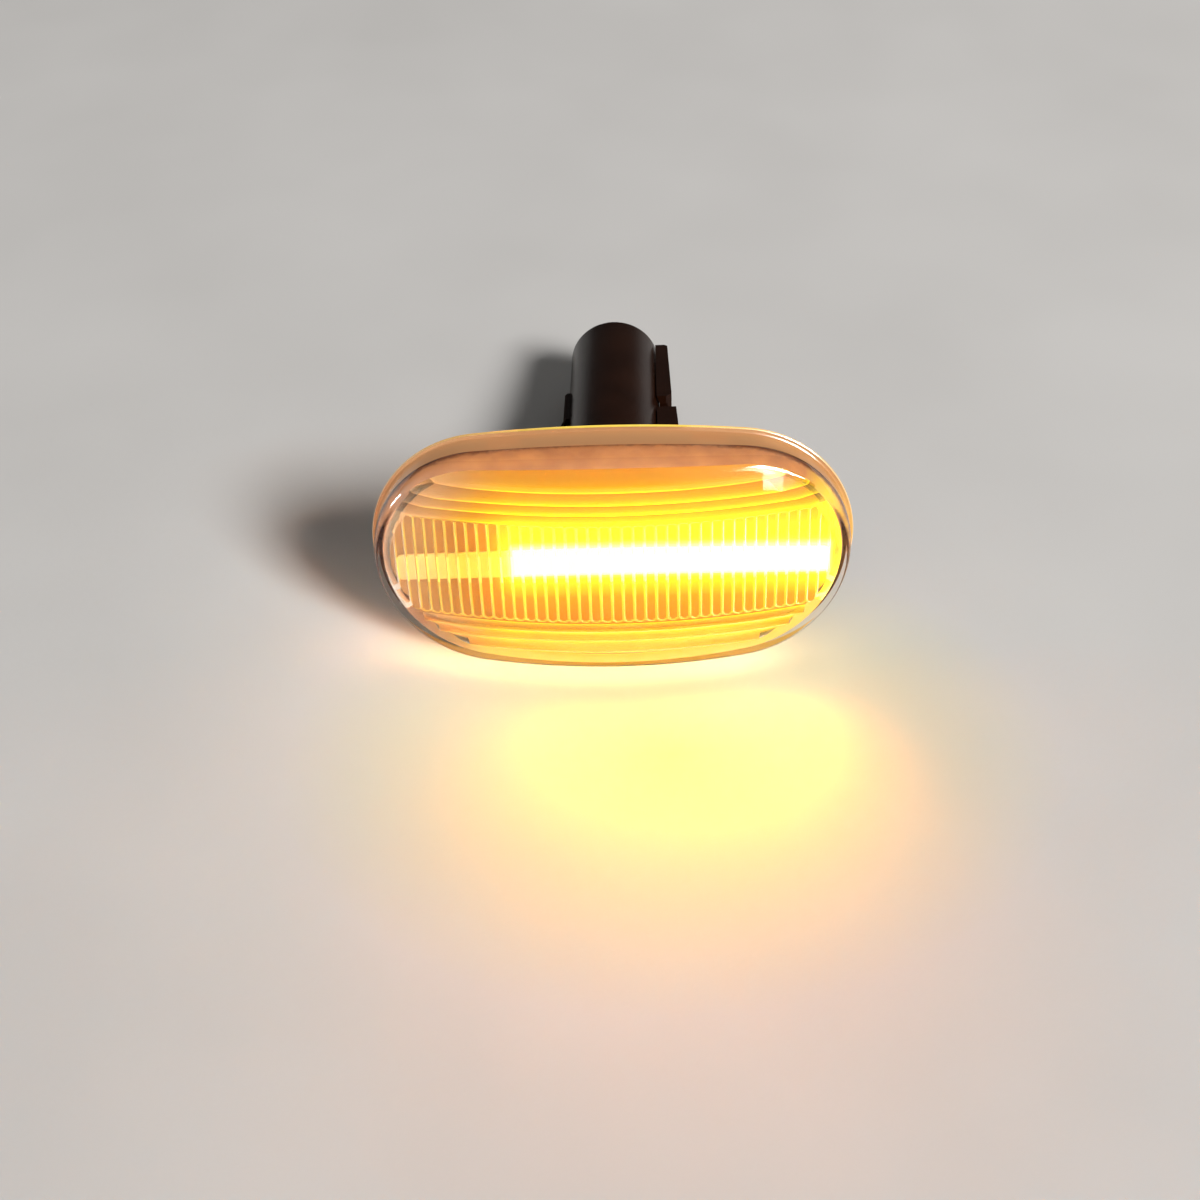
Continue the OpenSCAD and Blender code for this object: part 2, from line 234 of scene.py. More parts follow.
half_w, half_h = FLANGE_W / 2, FLANGE_H / 2
CROWN_R = half_w ** 2 / (2 * FACE_BOW)
end_x = half_w - END_R
edge_r = (end_x ** 2 + half_h ** 2 - END_R ** 2) / (2 * (half_h - END_R))
end_turn = math.atan2(edge_r - half_h, end_x)
crown_axis_y = CROWN_R - PROJECTION
inner_r = CROWN_R - FRONT_WALL
pocket_inset = SKIRT_INSET + SKIRT_WALL
rim_inset = pocket_inset + SLIP + RIM_WALL
room_inset = pocket_inset + LEDGE
knee_inset = room_inset + SHOULDER_W


def arc_stations(x, z, r, start, end, steps):
    """Places round the outline: the arc's centre and radius, and the turn at each place."""
    return [(x, z, r, start + (end - start) * k / steps) for k in range(steps)]


END_STEPS, LONG_STEPS = 56, 44
stations = (
    arc_stations(end_x, 0, END_R, -end_turn, end_turn, END_STEPS)
    + arc_stations(0, half_h - edge_r, edge_r, end_turn, math.pi - end_turn, LONG_STEPS)
    + arc_stations(-end_x, 0, END_R, math.pi - end_turn, math.pi + end_turn, END_STEPS)
    + arc_stations(0, edge_r - half_h, edge_r, math.pi + end_turn, 2 * math.pi - end_turn, LONG_STEPS))


def rim_point(station, inset):
    x, z, r, turn = station
    return x + (r - inset) * math.cos(turn), z + (r - inset) * math.sin(turn)


def crown(x, z, wall=0.0):
    """Height of the front face above the flange's rear face."""
    return PROJECTION - wall - (x * x + z * z) / (2 * CROWN_R)


def flat_ring(inset, height):
    return [(*rim_point(s, inset), height) for s in stations]


def dome_ring(turned):
    """A ring of the dome's side, turned from 0 at the skirt to a right angle at the face."""
    ring = []
    for s in stations:
        rise = crown(*rim_point(s, SKIRT_INSET)) - SKIRT_DEPTH
        lean = DOME_LEAN * rise * (1 - math.cos(turned) ** DOME_FULLNESS)
        x, z = rim_point(s, SKIRT_INSET + lean)
        reach = (crown(x, z) - SKIRT_DEPTH) * math.sin(turned) ** DOME_FULLNESS
        ring.append((x, z, SKIRT_DEPTH + reach))
    return ring


def knee_ring(inset, rise):
    """A ring of the sloped shoulder inside the dome."""
    return [(*rim_point(s, inset), crown(rim_point(s, knee_inset)[0], 0, FRONT_WALL) + rise)
            for s in stations]


def lofted(rings, tip):
    """A closed body through rings of (x, z, height), from a flat foot to a point in front."""
    body = bmesh.new()
    rows = [[body.verts.new((x * MM, -h * MM, z * MM)) for x, z, h in ring] for ring in rings]
    count = len(rows[0])
    body.faces.new(rows[0])
    for low, high in zip(rows, rows[1:]):
        for i in range(count):
            j = (i + 1) % count
            body.faces.new((low[i], low[j], high[j], high[i]))
    point = body.verts.new((0, -tip * MM, 0))
    for i in range(count):
        body.faces.new((rows[-1][i], rows[-1][(i + 1) % count], point))
    bmesh.ops.recalc_face_normals(body, faces=body.faces)
    return body


def scaled_in(ring, rings):
    """Rings across the crowned face, from a ring round its edge towards its middle."""
    out = []
    for k in range(1, rings):
        part = 1 - k / rings
        out.append([(x * part, z * part, crown(x * part, z * part)) for x, z, _ in ring])
    return out


LIP_RINGS, SKIRT_RINGS, SIDE_RINGS, FACE_RINGS, SKIRT_ROUND = 3, 8, 16, 12, 0.15
outer_rings = [flat_ring(LIP_ROUND, 0), flat_ring(0.0, LIP_ROUND), flat_ring(0.0, LIP_T - LIP_ROUND),
               flat_ring(LIP_ROUND, LIP_T), flat_ring(SKIRT_INSET - SKIRT_ROUND, LIP_T),
               flat_ring(SKIRT_INSET, LIP_T + SKIRT_ROUND)]
outer_rings += [dome_ring(math.pi / 2 * k / SIDE_RINGS) for k in range(SIDE_RINGS + 1)]
outer_rings += scaled_in(outer_rings[-1], FACE_RINGS)
lens = object_from("clear_lens", lofted(outer_rings, PROJECTION))


def clear_plastic(name, tint, roughness, bend=1.5, clearness=1.0):
    """Clear moulding: it bends the light that the eye sees, and lets the lamps through."""
    made, nodes, links, shader = material(name)
    shader.inputs["Base Color"].default_value = (*tint, 1)
    shader.inputs["Transmission Weight"].default_value = clearness
    shader.inputs["IOR"].default_value = bend
    shader.inputs["Roughness"].default_value = roughness
    through = nodes.new("ShaderNodeBsdfTransparent")
    through.inputs["Color"].default_value = (*tint, 1)
    rays = nodes.new("ShaderNodeLightPath")
    either = nodes.new("ShaderNodeMixShader")
    links.new(rays.outputs["Is Shadow Ray"], either.inputs["Fac"])
    links.new(shader.outputs["BSDF"], either.inputs[1])
    links.new(through.outputs["BSDF"], either.inputs[2])
    links.new(either.outputs["Shader"], nodes["Material Output"].inputs["Surface"])
    return made, nodes, links, shader


# The outside is polished. Painted light: the amber light of the bar is painted into the moulding
# as emission, so the hazy side walls, the steps, the flute edges and the edge of the flange all
# carry a painted glow. It fades with the distance from the lit part of the bar, which begins a
# little inside the stretch of the first lit LED.
LED_PITCH, LEDS, FIRST_LIT, LIT_INSET = 5.5, 12, 4, 1.8
BAR_Z, BAR_HALF_H, BAR_HALF_L = -1.8, 2.2, 33.2
LIT_FROM = (FIRST_LIT - 0.5 - (LEDS + 1) / 2) * LED_PITCH + LIT_INSET
# the lens stands before the bar, so from above its painted glow is painted higher on it, and less so at the
# ends
LENS_LIFT, LENS_BOW, LENS_ASIDE = 4.7, 0.0032, 1.2
BODY_LIFT = -6.0


def maths(nodes, links, operation, one, two=0.0):
    step = nodes.new("ShaderNodeMath")
    step.operation = operation
    for socket, value in zip(step.inputs, (one, two)):
        if isinstance(value, (int, float)):
            socket.default_value = value
        else:
            links.new(value, socket)
    return step.outputs["Value"]


def axis_of(nodes, links, where, axis):
    split = nodes.new("ShaderNodeSeparateXYZ")
    links.new(where, split.inputs["Vector"])
    return split.outputs[axis]


def away_from_lit_bar(nodes, links, where, lift, aside_weight=1.0, bow=0.0):
    """Distance in millimetres from the lit part of the bar, seen from the front."""
    x = axis_of(nodes, links, where, "X")
    z = axis_of(nodes, links, where, "Z")
    left_of = maths(nodes, links, "SUBTRACT", LIT_FROM, x)
    right_of = maths(nodes, links, "SUBTRACT", x, BAR_HALF_L)
    aside = maths(nodes, links, "MAXIMUM", maths(nodes, links, "MAXIMUM", left_of, right_of), 0)
    aside = maths(nodes, links, "MULTIPLY", aside, aside_weight)
    bowed = maths(nodes, links, "MULTIPLY", maths(nodes, links, "MULTIPLY", x, x), bow)
    height = maths(nodes, links, "SUBTRACT", maths(nodes, links, "ADD", z, bowed), BAR_Z + lift)
    height = maths(nodes, links, "ABSOLUTE", height)
    beyond = maths(nodes, links, "MAXIMUM", maths(nodes, links, "SUBTRACT", height, BAR_HALF_H), 0)
    return maths(nodes, links, "SQRT", maths(nodes, links, "ADD",
                 maths(nodes, links, "MULTIPLY", aside, aside),
                 maths(nodes, links, "MULTIPLY", beyond, beyond)))


def colours_along(nodes, links, value, stops):
    """Colours at stops given in the units of value, which starts at 0 and ends at the last stop."""
    reach = stops[-1][0]
    ramp = nodes.new("ShaderNodeValToRGB")
    for element, (at, colour) in zip(ramp.color_ramp.elements, (stops[0], stops[-1])):
        element.position = at / reach
        element.color = (*colour, 1)
    for at, colour in stops[1:-1]:
        ramp.color_ramp.elements.new(at / reach).color = (*colour, 1)
    links.new(maths(nodes, links, "DIVIDE", value, reach), ramp.inputs["Fac"])
    return ramp.outputs["Color"]


def times(nodes, links, one, two):
    both = nodes.new("ShaderNodeMix")
    both.data_type = "RGBA"
    both.blend_type = "MULTIPLY"
    both.inputs["Factor"].default_value = 1
    links.new(one, both.inputs["A"])
    links.new(two, both.inputs["B"])
    return both.outputs["Result"]


def away_on_lens(nodes, links, where):
    return away_from_lit_bar(nodes, links, where, LENS_LIFT, LENS_ASIDE, LENS_BOW)


def glowing(links, shader, colour, strength=1.0):
    links.new(colour, shader.inputs["Emission Color"])
    shader.inputs["Emission Strength"].default_value = strength


polished, nodes, links, shader = clear_plastic("clear_lens", (1.0, 0.965, 0.93), 0.03)
where = texture_place(nodes, links)
bumped(nodes, links, shader, noise_at(nodes, links, where, 0.12, 2), 0.05, 0.0001)

# painted glow: the flutes are painted amber and given emission, more so the nearer they are to the lit bar
fluted, nodes, links, shader = clear_plastic("fluted_face", (1.0, 0.93, 0.84), 0.06)
PAINTED_GLOW_TINTS = ((0, (1.0, 0.92, 0.50)), (1.5, (1.0, 0.84, 0.05)), (10, (1.0, 0.80, 0.06)),
               (16, (1.0, 0.90, 0.55)), (24, (1.0, 0.92, 0.80)))
near = away_on_lens(nodes, links, texture_place(nodes, links))
links.new(colours_along(nodes, links, near, PAINTED_GLOW_TINTS), shader.inputs["Base Color"])
glowing(links, shader, colours_along(nodes, links, near, (
    (0, (0.62, 0.60, 0.55)), (0.5, (0.60, 0.55, 0.20)), (1.1, (0.48, 0.42, 0.01)),
    (2.2, (0.24, 0.18, 0.0)), (4.5, (0.03, 0.015, 0.0)), (24, (0.0, 0.0, 0.0)))))

# painted light: each prism step is painted bright along its inner edge and painted darker towards the next
# one, with a painted amber glow by its distance from the lit bar
prism, nodes, links, shader = clear_plastic("prism_steps", (1.0, 0.90, 0.76), 0.08, 1.5, 0.87)
where = texture_place(nodes, links)
near = away_on_lens(nodes, links, where)
height = maths(nodes, links, "ABSOLUTE", axis_of(nodes, links, where, "Z"))
LINE_W, BEFORE_NEXT = 0.17, 0.01
painted_step_lines, painted_step_shade = [(0, (0.5, 0.5, 0.5))], [(0, (1, 1, 1))]
for low, top in zip(STEP_EDGES, STEP_EDGES[1:]):
    top = min(top, STEPS_END)
    painted_step_lines += [(low, (2.4, 2.4, 2.4)), (low + LINE_W, (0.9, 0.9, 0.9)),
                  (low + 0.4 * (top - low), (0.24, 0.24, 0.24)), (top - BEFORE_NEXT, (0, 0, 0))]
    painted_step_shade += [(low, (1, 1, 1)), (low + 0.35 * (top - low), (0.86, 0.78, 0.7)),
                  (top - BEFORE_NEXT, (0.62, 0.48, 0.36))]
painted_bar_glow = colours_along(nodes, links, near, (
    (0, (0.9, 0.85, 0.0)), (5, (0.75, 0.60, 0.0)), (9, (0.45, 0.30, 0.0)), (14, (0.17, 0.075, 0.0)),
    (24, (0.11, 0.065, 0.03))))
glowing(links, shader, times(nodes, links, painted_bar_glow, colours_along(nodes, links, height, painted_step_lines)))
links.new(times(nodes, links, colours_along(nodes, links, near, PAINTED_GLOW_TINTS),
                colours_along(nodes, links, height, painted_step_shade)), shader.inputs["Base Color"])

# painted glow: the flute edges glow amber, fading with the distance from the lit bar
edges, nodes, links, shader = clear_plastic("flute_edges", (1.0, 0.82, 0.22), 0.25, 1.12, 0.9)
near = away_on_lens(nodes, links, texture_place(nodes, links))
glowing(links, shader, colours_along(nodes, links, near, (
    (0, (1.3, 1.3, 0.9)), (1.0, (0.8, 0.78, 0.04)), (3, (0.34, 0.31, 0.005)),
    (9, (0.22, 0.18, 0.01)), (24, (0.16, 0.10, 0.045)))))

# the side wall is hazy, with a ragged dark line of glue along its foot; painted light: it carries a
# painted amber glow, and at its right end a painted bright spot where it catches the end of the bar
hazy, nodes, links, shader = clear_plastic("hazy_wall", (0.85, 0.55, 0.34), 0.5, 1.5, 0.3)
shader.inputs["Specular IOR Level"].default_value = 0.2
where = texture_place(nodes, links)
smear = colour_between(nodes, links, noise_at(nodes, links, where, 0.25, 4),
                       (0.14, 0.045, 0.006), (0.27, 0.105, 0.02))
ragged = maths(nodes, links, "MULTIPLY", noise_at(nodes, links, where, 0.9, 4, 0.6), 1.7)
forward = maths(nodes, links, "MULTIPLY", axis_of(nodes, links, where, "Y"), -1)
foot = colours_along(nodes, links, maths(nodes, links, "SUBTRACT", forward, ragged), (
    (0, (0.16, 0.07, 0.03)), (2.4, (0.20, 0.09, 0.04)), (3.3, (0.85, 0.80, 0.75)), (6, (1, 1, 1))))
links.new(times(nodes, links, smear, foot), shader.inputs["Base Color"])
painted_body_glow = colours_along(nodes, links, away_from_lit_bar(nodes, links, where, BODY_LIFT, 1.3), (
    (0, (0.9, 0.7, 0.02)), (9, (0.80, 0.55, 0.02)), (13, (0.45, 0.22, 0.02)),
    (20, (0.16, 0.045, 0.003)), (30, (0.34, 0.19, 0.11))))
CAUGHT_X, CAUGHT_Z, CAUGHT_W, CAUGHT_H = 33.0, 9.5, 4.5, 7.5
caught_at = nodes.new("ShaderNodeMapping")
caught_at.inputs["Scale"].default_value = (1 / CAUGHT_W, 0, 1 / CAUGHT_H)
caught_at.inputs["Location"].default_value = (-CAUGHT_X / CAUGHT_W, 0, -CAUGHT_Z / CAUGHT_H)
links.new(where, caught_at.inputs["Vector"])
caught = nodes.new("ShaderNodeTexGradient")
caught.gradient_type = "SPHERICAL"
links.new(caught_at.outputs["Vector"], caught.inputs["Vector"])
painted_bright_spot = nodes.new("ShaderNodeMix")
painted_bright_spot.data_type = "RGBA"
links.new(caught.outputs["Fac"], painted_bright_spot.inputs["Factor"])
links.new(painted_body_glow, painted_bright_spot.inputs["A"])
painted_bright_spot.inputs["B"].default_value = (1.3, 1.0, 0.0, 1)
glowing(links, shader, times(nodes, links, painted_bright_spot.outputs["Result"], foot), 0.8)

# painted glow: the skirt is given amber emission, fading with the distance from the lit bar
skirt_look, nodes, links, shader = clear_plastic("skirt", (0.46, 0.22, 0.09), 0.2, 1.45, 0.35)
near = away_from_lit_bar(nodes, links, texture_place(nodes, links), BODY_LIFT)
glowing(links, shader, colours_along(nodes, links, near, (
    (0, (0.8, 0.5, 0.02)), (10, (0.50, 0.30, 0.02)), (16, (0.20, 0.09, 0.01)),
    (30, (0.32, 0.18, 0.10)))), 0.7)

# painted glow along the edge of the flange, brightest in its middle
edge_glow, nodes, links, shader = clear_plastic("flange_edge", (1.0, 0.80, 0.55), 0.2)
across = maths(nodes, links, "ADD", axis_of(nodes, links, texture_place(nodes, links), "X"), half_w)
glowing(links, shader, colours_along(nodes, links, across, (
    (0, (0.45, 0.26, 0.13)), (20, (0.75, 0.45, 0.10)), (34, (1.1, 0.85, 0.10)),
    (46, (1.1, 0.85, 0.10)), (60, (0.90, 0.55, 0.12)), (FLANGE_W, (0.80, 0.42, 0.08)))), 0.8)

tab_look, nodes, links, shader = clear_plastic("tab_face", (0.30, 0.13, 0.05), 0.4, 1.45, 0.3)

for look in (polished, edge_glow, skirt_look):
    lens.data.materials.append(look)
for face in lens.data.polygons:
    ring = (face.index - 1) // len(stations)
    if face.index > 0 and ring < SKIRT_RINGS:
        face.material_index = 1 if ring < LIP_RINGS else 2

# the room inside the lens: its walls are hazy, and so is the low and the far part of its shoulder
ROOM_FOOT, ROOM_TIP = SKIRT_DEPTH - 0.5, PROJECTION + 4
HAZY_BELOW, HAZY_BEYOND = -8 * MM, 34 * MM
room_rings = [flat_ring(room_inset, ROOM_FOOT), knee_ring(room_inset, -SHOULDER_DROP),
              knee_ring(room_inset + 1.5 * SHOULDER_W, SHOULDER_DROP / 2)]
room = object_from("lens_room", lofted(room_rings, ROOM_TIP))
room.data.materials.append(hazy)
room.data.materials.append(prism)
for face in room.data.polygons:
    wall = face.index <= len(stations) or face.center.z < HAZY_BELOW or abs(face.center.x) > HAZY_BEYOND
    face.material_index = 0 if wall else 1


def soft_step(value, low, high):
    t = min(max((value - low) / (high - low), 0), 1)
    return t * t * (3 - 2 * t)


FLUTE_TOP, FLUTE_FOOT = FLUTE_HALF - 0.2, 0.3 - FLUTE_HALF
FOOT_CORNER, TOP_CORNER, FLUTE_CROWN = 0.5, 0.1, 0.12


def flute_stand(across, z):
    """How far the inside stands out for the flutes, across being measured along the wall."""
    half = (FLUTE_PITCH - FLUTE_GAP) / 2
    off = abs((across / FLUTE_PITCH + 0.5 * (FLUTES + 1)) % 1 - 0.5) * FLUTE_PITCH
    dx = max(off - (half - FOOT_CORNER), 0)
    dz = max(z - (FLUTE_TOP - TOP_CORNER), FLUTE_FOOT + FOOT_CORNER - z, 0)
    if z >= 0 and dz > 0:
        dz += FOOT_CORNER - TOP_CORNER
    edge = FOOT_CORNER - math.hypot(dx, dz)
    return FLUTE_T * soft_step(edge, -0.04, 0.05) * (1 - FLUTE_CROWN * (off / half) ** 2)


def front_radius(across, z):
    """Radius of the inside of the crowned face, with its flutes and steps."""
    high = abs(z)
    if high <= FLUTE_HALF:
        return inner_r - flute_stand(across, z)
    for low, top in zip(STEP_EDGES, STEP_EDGES[1:]):
        if high <= top:
            return inner_r - STEP_SLOPE * (high - low)
    return inner_r - STEP_SLOPE * (high - STEP_EDGES[-2])


KINK_FROM, KINK_LEAN, KINK_SLOPE, KINK_EASE = 31, 1.34, 0.63, 1.7


def kink(across, z):
    """Towards the ends of the dome the steps turn away from the flutes."""
    high = abs(z)
    beyond = max(abs(across) - (KINK_FROM - KINK_LEAN * (high - STEP_EDGES[1])), 0)
    turned = KINK_SLOPE * beyond * min(max((high - FLUTE_HALF) / KINK_EASE, 0), 1)
    return math.copysign(turned, z)


# columns and rows of the inside: close together where flutes and steps turn their corners
FACE_REACH, ROWS_END, SIDE_BACK, RISER = 37.6, 18.6, 8, 0.02
columns = []
for i in range(-3, FLUTES + 3):
    for part in (-0.85, -0.74, -0.70, -0.66, -0.61, -0.5, -0.25, 0, 0.25, 0.5, 0.61, 0.66, 0.70, 0.74):
        columns.append((i - (FLUTES - 1) / 2) * FLUTE_PITCH + part)
columns = [c for c in columns if abs(c) < FACE_REACH]
rows = [STEPS_END, -STEPS_END, ROWS_END, -ROWS_END, FLUTE_HALF + 0.001, -FLUTE_HALF - 0.001, 4.0, 0.0, -4.0]
for low in STEP_EDGES[1:-1]:
    rows += [low - RISER, low + RISER, -low - RISER, -low + RISER]
rows += [FLUTE_HALF - d for d in (0.05, 0.12, 0.17, 0.22, 0.27, 0.33, 0.45)]
rows += [FLUTE_FOOT + d for d in (-0.15, -0.06, 0, 0.06, 0.12, 0.18, 0.25, 0.34, 0.45, 0.6)]
rows.sort()
front = bmesh.new()
grid = []
for z in rows:
    line = []
    for across in columns:
        turn = across / inner_r
        r = front_radius(across, z)
        line.append(front.verts.new((r * math.sin(turn) * MM,
                                     (crown_axis_y - r * math.cos(turn)) * MM,
                                     (z + kink(across, z)) * MM)))
    grid.append(line)
back = [[front.verts.new((v.co.x, SIDE_BACK * MM, v.co.z)) for v in line] for line in (grid[0], grid[-1])]
back_sides = [[front.verts.new((line[k].co.x, SIDE_BACK * MM, line[k].co.z)) for line in grid[1:-1]]
              for k in (0, -1)]
for low, high in zip(grid, grid[1:]):
    for k in range(len(columns) - 1):
        front.faces.new((low[k], low[k + 1], high[k + 1], high[k]))
for k in range(len(columns) - 1):
    front.faces.new((grid[0][k + 1], grid[0][k], back[0][k], back[0][k + 1]))
    front.faces.new((grid[-1][k], grid[-1][k + 1], back[1][k + 1], back[1][k]))
left_side = [back[0][0]] + back_sides[0] + [back[1][0]]
right_side = [back[0][-1]] + back_sides[1] + [back[1][-1]]
for k in range(len(rows) - 1):
    front.faces.new((grid[k][0], grid[k + 1][0], left_side[k + 1], left_side[k]))
    front.faces.new((grid[k + 1][-1], grid[k][-1], right_side[k], right_side[k + 1]))
front.faces.new(back[0] + right_side[1:-1] + back[1][::-1] + left_side[1:-1][::-1])
bmesh.ops.recalc_face_normals(front, faces=front.faces)
inside_face = object_from("lens_inside", front)

# flutes and steps are clear, and the thin slopes and risers between them carry the painted glow
THIN, STEEP = 0.05, 0.12 * FLUTE_T
for look in (fluted, prism, edges):
    inside_face.data.materials.append(look)
for face in inside_face.data.polygons:
    corners = [inside_face.data.vertices[v].co / MM for v in face.vertices]
    depths = [math.hypot(c.x, c.y - crown_axis_y) for c in corners]
    heights = [c.z for c in corners]
    if abs(face.center.z / MM) > FLUTE_HALF:
        face.material_index = 2 if max(heights) - min(heights) < THIN else 1
    elif max(depths) - min(depths) > STEEP:
        face.material_index = 2


def box_body(low, high):
    body = bmesh.new()
    bmesh.ops.create_cube(body, size=1)
    for v in body.verts:
        v.co = Vector([(low[k] + high[k]) / 2 + v.co[k] * (high[k] - low[k]) for k in range(3)]) * MM
    return body


def combine(base, tool, how):
    """Cuts, joins or keeps the common part of two closed meshes, and drops the tool."""
    step = base.modifiers.new("step", "BOOLEAN")
    step.operation = how
    step.solver = "EXACT"
    step.material_mode = "TRANSFER"
    step.object = tool
    done = bpy.data.meshes.new_from_object(base.evaluated_get(bpy.context.evaluated_depsgraph_get()))
    base.modifiers.clear()
    base.data = done
    bpy.data.objects.remove(tool)


combine(room, inside_face, "INTERSECT")
PAST = 1
pocket_rings = [flat_ring(pocket_inset, -PAST), flat_ring(pocket_inset, SKIRT_DEPTH)]
pocket = object_from("lens_pocket", lofted(pocket_rings, SKIRT_DEPTH))
pocket.data.materials.append(hazy)
for side in (-1, 1):
    tab_low = (side * TAB_X - TAB_W / 2, -SKIRT_DEPTH - PAST, half_h - rim_inset + SLIP)
    tab_high = (side * TAB_X + TAB_W / 2, -TAB_BACK, half_h)
    tab = object_from("lens_tab", box_body(tab_low, tab_high))
    tab.data.materials.append(tab_look)
    combine(pocket, tab, "DIFFERENCE")
combine(lens, pocket, "DIFFERENCE")
combine(lens, room, "DIFFERENCE")
lens.data.name = "clear_lens"
lens.data.shade_smooth()
lens.data.set_sharp_from_angle(angle=math.radians(28))
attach(lens, "root")
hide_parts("lens")


# Glue bead: dark sealing glue squeezed along the joint between the lens and the housing,
# a ragged line of uneven width that is seen through the skirt. Its lower half carries a painted amber glow.
BEAD_INSET, BEAD_HALF_W, BEAD_HALF_D, BEAD_LIFT, BEAD_SIDES = 3.0, 0.40, 0.22, 0.25, 8
BEAD_WANDER, BEAD_SWELL = 0.06, 0.5
bead = bmesh.new()
rings = []
for station in stations:
    x0, z0 = rim_point(station, BEAD_INSET)
    wander = noise.noise(Vector((x0 * 0.45, z0 * 0.45, 3.1)))
    swell = 1 + BEAD_SWELL * noise.noise(Vector((x0 * 1.3, z0 * 1.3, 7.7)))
    x0, z0 = rim_point(station, BEAD_INSET + BEAD_WANDER * wander)
    outward = Vector((math.cos(station[3]), 0, math.sin(station[3])))
    ring = []
    for k in range(BEAD_SIDES):
        turn = 2 * math.pi * k / BEAD_SIDES
        at = Vector((x0, -SKIRT_DEPTH - BEAD_LIFT, z0)) + outward * (BEAD_HALF_W * swell * math.cos(turn))
        at.y -= BEAD_HALF_D * math.sin(turn) * swell
        ring.append(bead.verts.new(at * MM))
    rings.append(ring)
for one, two in zip(rings, rings[1:] + rings[:1]):
    for k in range(BEAD_SIDES):
        after = (k + 1) % BEAD_SIDES
        bead.faces.new((one[k], one[after], two[after], two[k]))
bmesh.ops.recalc_face_normals(bead, faces=bead.faces)
bead = object_from("glue_line", bead, 60)
bead_look, nodes, links, shader = material("glue")
where = texture_place(nodes, links)
blotch = noise_at(nodes, links, where, 0.9, 4)
links.new(colour_between(nodes, links, blotch, (0.02, 0.008, 0.004), (0.16, 0.055, 0.015), 0.35, 0.75),
          shader.inputs["Base Color"])
shader.inputs["Roughness"].default_value = 0.45
# painted glow on the lower half of the bead, by its distance from the lit bar
below = maths(nodes, links, "MULTIPLY", axis_of(nodes, links, where, "Z"), -1)
lower_half = colours_along(nodes, links, below, (
    (0, (0, 0, 0)), (7, (0.3, 0.3, 0.3)), (14, (1, 1, 1)), (20, (1, 1, 1))))
painted_bar_glow = colours_along(nodes, links, away_from_lit_bar(nodes, links, where, BODY_LIFT), (
    (0, (0.9, 0.7, 0.02)), (10, (0.85, 0.60, 0.03)), (18, (0.55, 0.30, 0.10)), (30, (0.35, 0.20, 0.10))))
glowing(links, shader, times(nodes, links, painted_bar_glow, lower_half))
bumped(nodes, links, shader, blotch, 0.6, 0.0003)
bead.data.materials.append(bead_look)
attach(bead, "root")
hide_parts("glue_bead")


# Housing: black moulded plastic with a fine, slightly rubbed grain. The plate with its rim, the
# round tail with its socket, the spring latch and the hook are one moulding that the lens closes.
def plain_plastic(name, low, high, roughness, grain_mm=3.0, depth=0.00006, wear=0.1):
    made, nodes, links, shader = material(name)
    where = texture_place(nodes, links)
    cloud = noise_at(nodes, links, where, 0.12, 4)
    links.new(colour_between(nodes, links, cloud, low, high), shader.inputs["Base Color"])
    rub = noise_at(nodes, links, where, 0.5, 5, 0.65)
    links.new(number_between(nodes, links, rub, roughness - wear, roughness + wear),
              shader.inputs["Roughness"])
    grain = noise_at(nodes, links, where, grain_mm, 3)
    bumped(nodes, links, shader, grain, 0.35, depth)
    return made


def dress(node, look):
    """Gives a node of the built part its material."""
    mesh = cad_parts[node].data
    if not mesh.materials:
        mesh.materials.append(look)
    for k in range(len(mesh.materials)):
        mesh.materials[k] = look


housing_look = plain_plastic("black_housing", (0.012, 0.0035, 0.0015), (0.020, 0.0065, 0.003), 0.22,
                             wear=0.05)
housing_look.node_tree.nodes["Principled BSDF"].inputs["Specular IOR Level"].default_value = 0.07
dress("housing", housing_look)


# Reflector tray: a pale grey moulding with a smooth face, dropped over the board on to the plate.
# Its slot frames the light bar, and it throws the bar's amber light back through the flutes. That
# light is painted: its colour is painted amber-brown, more orange near the lit bar, and it glows
# amber the nearer it is to the lit bar.
tray_look, nodes, links, shader = material("grey_trim")
where = texture_place(nodes, links)
TRAY_LIFT, TRAY_ASIDE = 2.0, 1.6
near = away_from_lit_bar(nodes, links, where, TRAY_LIFT, TRAY_ASIDE)
links.new(colours_along(nodes, links, near, (
    (0, (0.22, 0.10, 0.0)), (8, (0.19, 0.07, 0.0)), (13, (0.17, 0.07, 0.01)), (24, (0.19, 0.11, 0.065)))),
          shader.inputs["Base Color"])
glowing(links, shader, colours_along(nodes, links, near, (
    (0, (1.0, 0.9, 0.0)), (3.5, (0.74, 0.56, 0.0)), (6, (0.46, 0.22, 0.0)), (8.5, (0.34, 0.135, 0.0)),
    (11, (0.18, 0.065, 0.0)), (17, (0.09, 0.03, 0.003)), (24, (0.08, 0.028, 0.003)))))
shader.inputs["Roughness"].default_value = 0.4
bumped(nodes, links, shader, noise_at(nodes, links, where, 1.2, 3), 0.3, 0.00003)
dress("reflector", tray_look)


# Light bar: one straight diffuser of milky plastic that stands on the board over the LED row.
# Nine of the twelve LEDs behind it glow amber, and the first three are still dark.
BAR_FADE = 1.0
bar_look, nodes, links, shader = material("diffuser_white")
where = texture_place(nodes, links)
lit = nodes.new("ShaderNodeMapRange")
lit.interpolation_type = "SMOOTHSTEP"
lit.inputs["From Min"].default_value = LIT_FROM - LED_PITCH
lit.inputs["From Max"].default_value = LIT_FROM + BAR_FADE
links.new(axis_of(nodes, links, where, "X"), lit.inputs["Value"])
glow = nodes.new("ShaderNodeValToRGB")
glow.color_ramp.elements[0].color = (0, 0, 0, 1)
glow.color_ramp.elements[1].color = (1.0, 0.30, 0.018, 1)
glow.color_ramp.elements.new(0.45).color = (0.008, 0.003, 0.0, 1)
links.new(lit.outputs["Result"], glow.inputs["Fac"])
